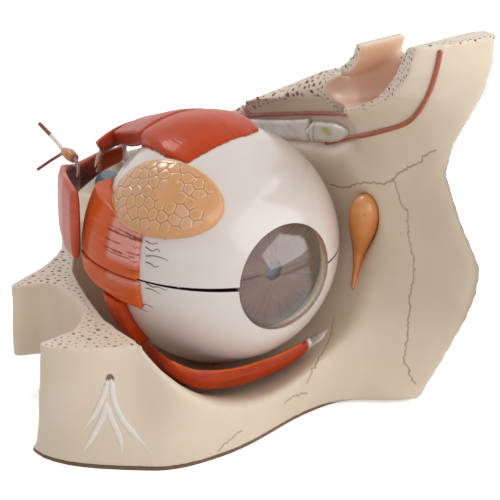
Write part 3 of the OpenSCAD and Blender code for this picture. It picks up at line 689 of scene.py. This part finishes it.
def tube(line, radii, sides=10):
    """Points and faces of a round cord along a line, closed at both ends by a point."""
    line = np.array(line, float)
    radii = np.broadcast_to(radii, len(line)).astype(float)
    along = np.gradient(line, axis=0)
    along /= np.linalg.norm(along, axis=1)[:, None]
    side = np.cross(along, [0.31, 0.17, 0.93])
    side /= np.linalg.norm(side, axis=1)[:, None]
    over = np.cross(along, side)
    turn = np.linspace(0, 2 * math.pi, sides, endpoint=False)
    rings = line[:, None] + radii[:, None, None] * (np.cos(turn)[None, :, None] * side[:, None]
                                                    + np.sin(turn)[None, :, None] * over[:, None])
    points = np.vstack([rings.reshape(-1, 3), line[0] - along[0] * radii[0] * 0.7,
                        line[-1] + along[-1] * radii[-1] * 0.7])
    n, last = len(line), (len(line) - 1) * sides
    faces = [(i * sides + k, i * sides + (k + 1) % sides, (i + 1) * sides + (k + 1) % sides,
              (i + 1) * sides + k) for i in range(n - 1) for k in range(sides)]
    faces += [((k + 1) % sides, k, n * sides) for k in range(sides)]
    faces += [(last + k, last + (k + 1) % sides, n * sides + 1) for k in range(sides)]
    return points, faces


def bundle(parts):
    """Several closed forms as one list of points and one of faces."""
    points, faces, start = [], [], 0
    for p, f in parts:
        faces += [tuple(k + start for k in face) for face in f]
        points.append(p)
        start += len(p)
    return np.vstack(points), faces


def on_ball(px, radius):
    """The place on the eyeball, at a radius, that a pixel of the picture shows."""
    d, o = sight(*px), VIEWPOINT - EYE
    b = o @ d
    return EYE + o + d * (-b - math.sqrt(max(b * b - o @ o + radius * radius, 0)))


# thin vessels painted from the lateral rectus onto the white, as pixels of the picture
UPPER_VESSELS = [[(146, 233), (153, 236), (159, 236), (166, 240)],
                 [(146, 241), (152, 244), (158, 243)],
                 [(146, 247), (152, 251), (157, 249), (160, 252)],
                 [(146, 256), (155, 256), (162, 258), (168, 261)],
                 [(146, 262), (151, 264), (155, 267), (159, 266)]]
LOWER_VESSELS = [[(146, 283), (153, 287), (158, 287), (165, 290), (168, 290)],
                 [(146, 288), (153, 290), (160, 294)],
                 [(115, 292), (122, 297), (128, 303), (133, 302), (140, 304), (148, 305), (153, 308)],
                 [(120, 296), (127, 301), (131, 305)], [(133, 303), (139, 308), (148, 312)]]


def make_vessels(name, body, lines):
    """Thin dark vessels in low relief on the white of the eye."""
    parts = []
    for px in lines:
        path = [on_ball(p, EYE_R + 0.02) for p in px]
        line = smooth_line(path, 6)
        parts.append(tube(line, np.linspace(0.26, 0.1, len(line)), 6))
    points, faces = bundle(parts)
    piece(name, points, faces, VESSEL, body)


def gaping_half(name, body, side):
    """A half of the white of the eye whose outer edge is worn back at the seam, more towards the cornea."""
    bm = welded(NODES[name].data)
    worn, sound = HALF_GAP + 0.25, 3.2
    for height in (worn, sound):
        bmesh.ops.bisect_plane(bm, geom=bm.verts[:] + bm.edges[:] + bm.faces[:], dist=0.001 * MM,
                               plane_co=Vector(EYE + [0, 0, side * height]) * MM, plane_no=(0, 0, 1))
    mesh = bpy.data.meshes.new(name)
    bm.to_mesh(mesh)
    bm.free()
    skin = Skin.of_mesh(mesh)
    bpy.data.meshes.remove(mesh)
    p = skin.points - EYE
    outer = (abs(p[:, 2]) < worn + 0.05) & (np.linalg.norm(p, axis=1) > EYE_R - 0.3)
    # painted shade: the faces inside the seam between the halves are painted near-black
    seam = abs(p[:, 2]) < HALF_GAP + 0.05
    turn = np.arctan2(-p[:, 1], -p[:, 0])
    gape = 0.12 + 0.7 * ease(turn, 0.2, 1.2) * (p[:, 0] < 0)
    p[:, 2] += side * outer * gape * (1.0 if side > 0 else 0.6)
    level = np.hypot(p[:, 0], p[:, 1])
    p[outer, :2] *= (np.sqrt(EYE_R ** 2 - p[outer, 2] ** 2) / level[outer])[:, None].clip(max=1)
    made = piece("worn_" + name, p + EYE, skin.faces, SCLERA, body, name, "sclera", marks={"seam": seam})
    made.data.set_sharp_from_angle(angle=math.radians(32))


# --- cords and ribbons on the bone ------------------------------------------------------------------

def laid(tree, places, lift, steps=8):
    """A smooth line lying on the bone, off it by lift, along the pixels of the picture."""
    line = np.array([on_bone(tree, px, lift) for px in smooth_line(places, steps)])
    for _ in range(6):
        line[1:-1] += 0.5 * ((line[2:] + line[:-2]) / 2 - line[1:-1])
    return line


def ribbon(tree, places, wide, high):
    """Points and faces of a low rounded band on the bone, tapering to both ends."""
    line = laid(tree, places, 0.0)
    looks = np.array([tree.find_nearest(Vector(q))[1] for q in line])
    points, faces = tube(line, 1.0, 12)
    share = np.linspace(0, 1, len(line))
    taper = np.minimum(ease(share, -0.1, 0.12), ease(share, 1.0, 0.7)) * 0.85 + 0.15
    rings = points[:-2].reshape(len(line), 12, 3) - line[:, None]
    out = np.einsum("ijk,ik->ij", rings, looks)[..., None] * looks[:, None]
    rings = (rings - out) * wide * taper[:, None, None] + out * high * taper[:, None, None]
    points[:-2] = (line[:, None] + rings).reshape(-1, 3)
    return points, faces


# pixels of the picture along the middles of the cords
BROW_ARTERY = [(327, 143), (340, 140), (354, 137), (369, 134), (384, 130), (398, 126), (409, 121), (417, 113),
               (424, 102), (430, 90), (434, 78), (437, 66), (439, 56), (439.8, 51)]
WALL_ARTERY = [(243, 115.5), (262, 114.5), (284, 113.5), (306, 113), (327, 113.2), (346, 114)]
WALL_BRANCH = [(243, 106.5), (248, 111), (253, 115)]
CHEEK_NERVES = [[(107.5, 380), (105.5, 390), (101, 402), (94, 415), (83, 430)],
                [(106.5, 402), (103.5, 415), (94, 434), (83.5, 452)],
                [(107.5, 405), (110, 416), (115.5, 428), (120.5, 441), (122.7, 453)],
                [(111.5, 380), (112.5, 392), (115, 404), (122.5, 420), (136, 436), (151, 452)]]
OBLIQUE_END = [(303, 348), (311, 342.5), (319, 337), (327, 330)]


def make_cords(tree):
    piece("brow_artery", *tube(laid(tree, BROW_ARTERY, 0.35), 1.2, 14), ARTERY, "orbit",
          "supraorbital_artery", "artery")
    branch = laid(tree, WALL_BRANCH, 0.5)
    artery = laid(tree, WALL_ARTERY, 0.5)
    piece("wall_artery", *bundle([tube(artery, 0.95, 12), tube(branch, 0.7, 12)]), PINK_ARTERY, "orbit",
          "ethmoidal_artery", "pink_artery")
    piece("cheek_nerves", *bundle([ribbon(tree, px, 1.25, 0.42) for px in CHEEK_NERVES]), WHITE_NERVE,
          "orbit", "zygomatic_nerve", "white_nerve")
    piece("oblique_tendon", *ribbon(tree, OBLIQUE_END, 3.2, 0.9), WHITE_TENDON, "orbit",
          slot="white_tendon")


# --- soft pieces made from the CAD solids -----------------------------------------------------------

FIBRE_R = 50.0                        # mean distance of the straight muscles from the gaze axis


def on_white(p):
    """1 away from the face that lies on the eyeball, 0 on it."""
    return ease(np.linalg.norm(p - EYE, axis=1), EYE_R + 0.25, EYE_R + 0.7)


def meridian(p):
    """Distance round the gaze axis, across the fibres of the straight muscles, and distance along them."""
    return np.arctan2(p[:, 0], p[:, 2] - EYE[2]) * FIBRE_R, p[:, 1]


def strands(across, along, pitch=1.3, seed=0):
    """How high the brushed fibres stand, 0 to 1."""
    return (0.6 * cloud(across / pitch, along / 17, seed)
            + 0.4 * cloud(across / (0.45 * pitch), along / 11, seed + 2))


def dress(name, node, body, paint, slot, voxel, rounds, relief=None, on_eye=False):
    """A CAD solid with softened edges and fine relief. relief gives heights and marks from the points. The
    face that lies on the eyeball only slides on it."""
    skin = Skin.of_nodes([node], voxel)
    weight, holds = 1.0, ()
    if on_eye:
        weight = on_white(skin.points)
        skin.relax(rounds, weight)
        out = skin.points - EYE
        out /= np.linalg.norm(out, axis=1)[:, None]
        holds = [out * (1 - weight)[:, None]]
    skin.relax(rounds, 1.0, holds)
    marks = {}
    if relief:
        height, marks = relief(skin.points, skin.normals())
        skin.points += skin.normals() * (height * weight)[:, None]
    if on_eye:
        out = skin.points - EYE
        reach = np.linalg.norm(out, axis=1)
        skin.points = EYE + out * (np.maximum(reach, EYE_R + CLEAR) / reach)[:, None]
    return piece(name, skin.points, skin.faces, paint, body, node, slot, marks=marks)


def front_fibres(p, n):
    across, along = meridian(p)
    s = strands(across, along)
    crest = ease(across, -4, 12)
    return (0.1 + 0.15 * crest) * (s - 0.75), {"pale": ease(s, 0.6, 0.75) * 0.4 * crest,
                                               "dark": ease(s, 0.36, 0.2) * (0.15 + 0.35 * crest)}


def lateral_fibres(p, n):
    across, along = meridian(p)
    s = strands(across, along, 1.0, 4)
    level = p[:, 2] - EYE[2]
    front = ease(along, 5, 1)
    band = front * np.where(level > 0, ease(level, 4, 9), 0.75 * ease(level, -5.5, -1))
    thin = strands(across, along, 0.62, 21)
    lines = ease(thin, 0.33, 0.26) * ease(along, 7, 3) * np.where(level > 0, ease(level, 0, 6), 0.3)
    # painted light: the belly outside the pink band is laid over with paler orange, standing in for light
    # from the left; more on the raised strands
    pale = (0.55 + 0.3 * ease(s, 0.62, 0.75)) * (1 - band)
    return (0.06 + 0.2 * front) * (s - 0.75), {"pink": band, "pale": pale, "dark": 0.9 * lines}


def rear_fibres(p, n):
    across, along = meridian(p)
    s = strands(across, along, 1.5, 8)
    out = p - np.column_stack([np.zeros(len(p)), p[:, 1], np.full(len(p), EYE[2])])
    facing = np.einsum("ij,ij->i", n, out / np.maximum(np.linalg.norm(out, axis=1), 1e-9)[:, None])
    # painted shade: the sides turned in towards the gaze axis are painted dark, and the paler patches are
    # kept off them
    under = ease(facing, 0.0, -0.5)
    crossing = [abs(((across + turn * 0.9 * along) / 9) % 1 - 0.5) for turn in (-1, 1)]
    net = ease(np.maximum(*crossing), 0.46, 0.5)
    pale = ease(cloud3(p, 16, 5), 0.35, 0.75) * 0.45 + 0.12 * s
    return 0.12 * (s - 0.75), {"pale": pale * (1 - under), "dark": under * 0.85 + 0.12 * ease(s, 0.34, 0.2),
                               "line": net * under * 0.5}


OBLIQUE_RIDGE = [(20, -35, 30.5), (10, -34.5, 28.5), (0, -34.5, 28), (-14, -36, 29), (-28, -37.5, 32),
                 (-40, -37, 35.5), (-49, -34, 41)]


def oblique_fibres(p, n):
    s = strands(p[:, 2] * 0.8 + p[:, 1] * 0.6, p[:, 0], 1.2, 6)
    # painted highlight: the ridge is laid paler; painted shade: the rest of the band is darker, most towards
    # the back under the eyeball, and darker again in the grooves between the fibres
    ridge = ease(line_gap(p, OBLIQUE_RIDGE), 1.6, 0.7)
    shade = 0.35 + 0.45 * ease(p[:, 1], -33, -28) + 0.2 * ease(s, 0.36, 0.2)
    return 0.12 * (s - 0.75) + 0.35 * ridge, {"pale": ridge * 0.8, "white": ease(p[:, 0], 23, 25),
                                              "dark": shade * (1 - ridge)}


def ball_strands(p, n):
    s = strands(p[:, 1], p[:, 2], 1.3, 12)
    return 0.15 * (s - 0.75), {"dark": ease(s, 0.36, 0.2) * 0.25, "pale": ease(s, 0.66, 0.8) * 0.15}


def white_strands(p, n):
    s = strands(p[:, 2] - 0.25 * p[:, 1], p[:, 1], 2.2, 14)
    return 0.2 * (s - 0.7), {"dark": ease(s, 0.4, 0.2) * 0.35}


GLAND_TILT, GLAND_BEARING = 50.3, 205.9   # degrees from upright and about the upright axis
GLAND_HIGH, GLAND_WIDE, GLAND_SHIFT = 17.6, 28.5, -5.0
LOBULE = 5.4


def gland_lobules(p, n):
    """Rounded cells with sunk joints between them, and a smooth lip round the oval."""
    draw = np.random.default_rng(23)
    turn = np.array((Matrix.Rotation(math.radians(GLAND_BEARING), 3, "Z")
                     @ Matrix.Rotation(math.radians(GLAND_TILT), 3, "Y")))
    local = (p - EYE) @ turn
    u, v = local[:, 0], local[:, 1]
    seeds = np.array([(LOBULE * 0.87 * i, LOBULE * (j + 0.5 * (i % 2)) + GLAND_SHIFT)
                      for i in range(-5, 6) for j in range(-7, 8)])
    seeds += draw.uniform(-1.25, 1.25, seeds.shape)
    gaps = np.sqrt((u[:, None] - seeds[:, 0]) ** 2 + (v[:, None] - seeds[:, 1]) ** 2)
    nearest = np.argsort(gaps, axis=1)[:, :2]
    first, second = np.take_along_axis(gaps, nearest, 1).T
    gap = second - first
    edge = np.hypot(u / GLAND_HIGH, (v - GLAND_SHIFT) / GLAND_WIDE)
    # some joints fade where the cells run together
    field = ease(edge, 0.93, 0.85) * (local[:, 2] > 40) * ease(cloud(u / 9, v / 9, 31), 0.12, 0.3)
    joint = (1 - ease(gap, 0.05, 0.75)) * field
    tone = draw.random(len(seeds))[nearest[:, 0]]
    pinkish = ease(v, 0, 12) * ease(u, -2, 6) * (tone > 0.35) + 0.3 * (tone > 0.8)
    height = field * 0.22 * (1 - (first / LOBULE) ** 2 * 2) - 0.42 * joint
    # painted shade darkens the sunk joints, and a painted highlight in cream lies along the cells' edges
    # beside them; the rest of the dark is each cell's own tone
    return height, {"pink": np.clip(0.75 * pinkish * field, 0, 1),
                    "edge_highlight": 0.5 * field * ease(gap, 0.6, 1.0) * ease(gap, 1.9, 1.2),
                    "dark": 0.62 * joint + 0.2 * tone * field * (1 - joint)}


SAC_SPOT = (52.2, -40.6, 87.5)        # the small opening of the tear sac: its dark is a painted shade, with no hole cut
SAC_PX = (363.5, 213)


def sac_shading(p, n):
    spot = np.linalg.norm(p - SAC_SPOT, axis=1)
    # painted shade: browner where the surface turns away from the view and on the small opening; painted
    # highlight: paler towards the top
    side = ease(abs(n @ (-sight(*SAC_PX))), 0.55, 0.1)
    return 0.25 * (cloud3(p, 5, 2) - 0.5), {"dark": np.clip(side * 0.6 + ease(1.1 - spot, 0, 0.6), 0, 1),
                                            "pale": ease(p[:, 2], 80, 90) * 0.4}


PULLEY_SPOT, PULLEY_SPOT_RADII = (58, -7, 117), (4, 4.2, 2.4)


def pulley_shading(p, n):
    middle = np.linalg.norm((p - PULLEY_SPOT) / PULLEY_SPOT_RADII, axis=1)
    ring = ease(abs(p[:, 1] - 4.5), 1.3, 0.3)
    return (0.5 * (cloud3(p, 3.2, 6) - 0.5) + 0.5 * ring,
            {"green": ease(1.4 - middle, 0, 1), "dark": 0.7 * ease(abs(p[:, 1] - 2.4), 0.8, 0.3)})


def nerve_paint(p, n):
    """Orange on the ganglion, white behind it, dark tips."""
    long_end = p[:, 2] > 94
    return np.zeros(len(p)), {"orange": ease(p[:, 1], 86, 88) * ease(p[:, 1], 98, 96.5),
                              "white": ease(p[:, 1], 97, 98) * ease(p[:, 1], 109, 108) * long_end,
                              "dark": 0.8 * ease(p[:, 1], 103, 104) * (p[:, 2] < 86)}


def cord_lines(p, n):
    """Fine cords along the optic nerve."""
    turn = np.arctan2(p[:, 0], p[:, 2] - EYE[2]) * 6.5
    s = cloud(turn / 1.1, p[:, 1] / 14, 3)
    return 0.25 * (s - 0.8), {"dark": ease(s, 0.5, 0.2) * 0.6, "white": ease(p[:, 1], 57.5, 56.5)}


def make_soft_pieces():
    for node, body, paint, slot, voxel, rounds, relief, on_eye in [
            ("superior_rectus_front", "upper_half", MUSCLE, "muscle", 0.6, 12, front_fibres, True),
            ("superior_rectus_middle", "upper_half", SHEENED_MUSCLE, "tendon", 0.6, 9, rear_fibres, True),
            ("lateral_rectus_upper", "upper_half", MUSCLE, "muscle", 0.5, 8, lateral_fibres, True),
            ("lateral_rectus_lower", "lower_half", MUSCLE, "muscle", 0.5, 8, lateral_fibres, True),
            ("inferior_rectus_front", "lower_half", MUSCLE, "muscle", 0.7, 8, front_fibres, True),
            ("inferior_oblique_insertion", "lower_half", MUSCLE, "muscle", 0.5, 8, ball_strands, True),
            ("superior_rectus_rear", "orbit", SHEENED_MUSCLE, "tendon", 0.6, 9, rear_fibres, False),
            ("lateral_rectus_rear", "orbit", SHEENED_MUSCLE, "tendon", 0.6, 12, rear_fibres, False),
            ("medial_rectus_rear", "orbit", SHEENED_MUSCLE, "tendon", 0.7, 12, rear_fibres, False),
            ("inferior_rectus_rear", "orbit", SHEENED_MUSCLE, "tendon", 0.7, 12, rear_fibres, False),
            ("inferior_oblique", "orbit", MUSCLE, "muscle", 0.5, 10, oblique_fibres, False),
            ("lacrimal_gland", "upper_half", GLAND, "gland", 0.36, 8, gland_lobules, True),
            ("lacrimal_sac", "orbit", SAC, "tear_sac", 0.5, 10, sac_shading, False),
            ("trochlea", "orbit", CARTILAGE, "cartilage", 0.4, 10, pulley_shading, False),
            ("superior_oblique", "orbit", WHITE_TENDON, "white_tendon", 0.5, 10, white_strands, False),
            ("tendinous_ring", "orbit", WHITE_TENDON, "white_tendon", 0.5, 6, white_strands, False),
            ("ophthalmic_artery", "orbit", ARTERY, "artery", 0.35, 6, None, False),
            ("ciliary_nerves", "orbit", NERVE, "nerve", 0.35, 6, nerve_paint, False),
            ("optic_nerve", "lower_half", OPTIC_NERVE, "optic_nerve", 0.5, 4, cord_lines, False)]:
        dress("dressed_" + node, node, body, paint, slot, voxel, rounds, relief, on_eye)


# --- stage ------------------------------------------------------------------------------------------

def seen_white(made, strength):
    """White for the camera, for glossy and for see-through rays; plain light of the given strength for the
    rest."""
    tree = made.node_tree
    tree.nodes.clear()
    path = add(tree, "LightPath").outputs
    seen = add(tree, "Math", {0: path["Is Camera Ray"], 1: path["Is Glossy Ray"]},
               operation="MAXIMUM").outputs[0]
    seen = add(tree, "Math", {0: seen, 1: path["Is Transmission Ray"]}, operation="MAXIMUM").outputs[0]
    power = add(tree, "MapRange", {"Value": seen, "To Min": strength, "To Max": 1.0}).outputs[0]
    light = add(tree, "Background", {"Color": rgba("#FFFFFF"), "Strength": power})
    tree.links.new(light.outputs[0], add(tree, "OutputWorld").inputs[0])


def softbox(name, towards, distance, wide, high, radiance):
    """A lamp with a flat face, its size in millimetres, of even radiance and turned to the eyeball."""
    data = bpy.data.lights.new(name, "AREA")
    data.shape, data.size, data.size_y = "RECTANGLE", wide * MM, high * MM
    data.energy = radiance * math.pi * wide * high * MM * MM
    lamp = bpy.data.objects.new(name, data)
    lamp.location = (Vector(EYE) + Vector(towards).normalized() * distance) * MM
    lamp.rotation_mode = "QUATERNION"
    lamp.rotation_quaternion = (Vector(EYE * MM) - lamp.location).to_track_quat("-Z", "Y")
    bpy.context.scene.collection.objects.link(lamp)


FLOOR_GLOW = 0.45                     # lifts the lit paper to white for the camera
FLOOR_HALF = 6000.0
ROOM_LIGHT = 0.48


def make_stage():
    side = FLOOR_HALF * MM
    mesh = bpy.data.meshes.new("floor")
    mesh.from_pydata([(-side, -side, 0), (side, -side, 0), (side, side, 0), (-side, side, 0)], [],
                     [(0, 1, 2, 3)])
    # matt white paper sweep, seen as white with only the object's shadow on it
    paper = bpy.data.materials.new("matt_paper_floor")
    paper.use_nodes = True
    shader = paper.node_tree.nodes["Principled BSDF"]
    shader.inputs["Base Color"].default_value = rgba("#FFFFFF")
    shader.inputs["Roughness"].default_value = 1.0
    shader.inputs["Specular IOR Level"].default_value = 0.0
    shader.inputs["Emission Color"].default_value = rgba("#FFFFFF")
    seen = add(paper.node_tree, "LightPath").outputs["Is Camera Ray"]
    glow = add(paper.node_tree, "Math", {0: seen, 1: FLOOR_GLOW}, operation="MULTIPLY").outputs[0]
    paper.node_tree.links.new(glow, shader.inputs["Emission Strength"])
    mesh.materials.append(paper)
    floor = bpy.data.objects.new("floor", mesh)
    bpy.context.scene.collection.objects.link(floor)
    world = bpy.data.worlds.new("studio")
    world.use_nodes = True
    seen_white(world, ROOM_LIGHT)
    bpy.context.scene.world = world
    softbox("front_softbox", (0.48, -0.7, 0.54), 900, 2100, 660, 1.75)
    softbox("rear_softbox", (-0.1, 0.6, 0.8), 900, 260, 260, 9.0)
    bpy.context.scene.view_settings.view_transform = "Standard"


place_camera()
make_cords(make_bone())
make_felt()
make_soft_pieces()
gaping_half("upper_sclera", "upper_half", 1)
gaping_half("lower_sclera", "lower_half", -1)
make_iris("dressed_upper_iris", "upper_iris", "upper_coat", True)
make_iris("dressed_lower_iris", "lower_iris", "lower_coat", False)
make_vessels("upper_vessels", "upper_half", UPPER_VESSELS)
make_vessels("lower_vessels", "lower_half", LOWER_VESSELS)
for name, paint in {"cornea": CORNEA, "lens": LENS, "vitreous_body": VITREOUS, "upper_choroid": CHOROID,
                    "lower_choroid": CHOROID, "seam_pins": STEEL}.items():
    NODES[name].data.materials.clear()
    NODES[name].data.materials.append(paint)
make_stage()
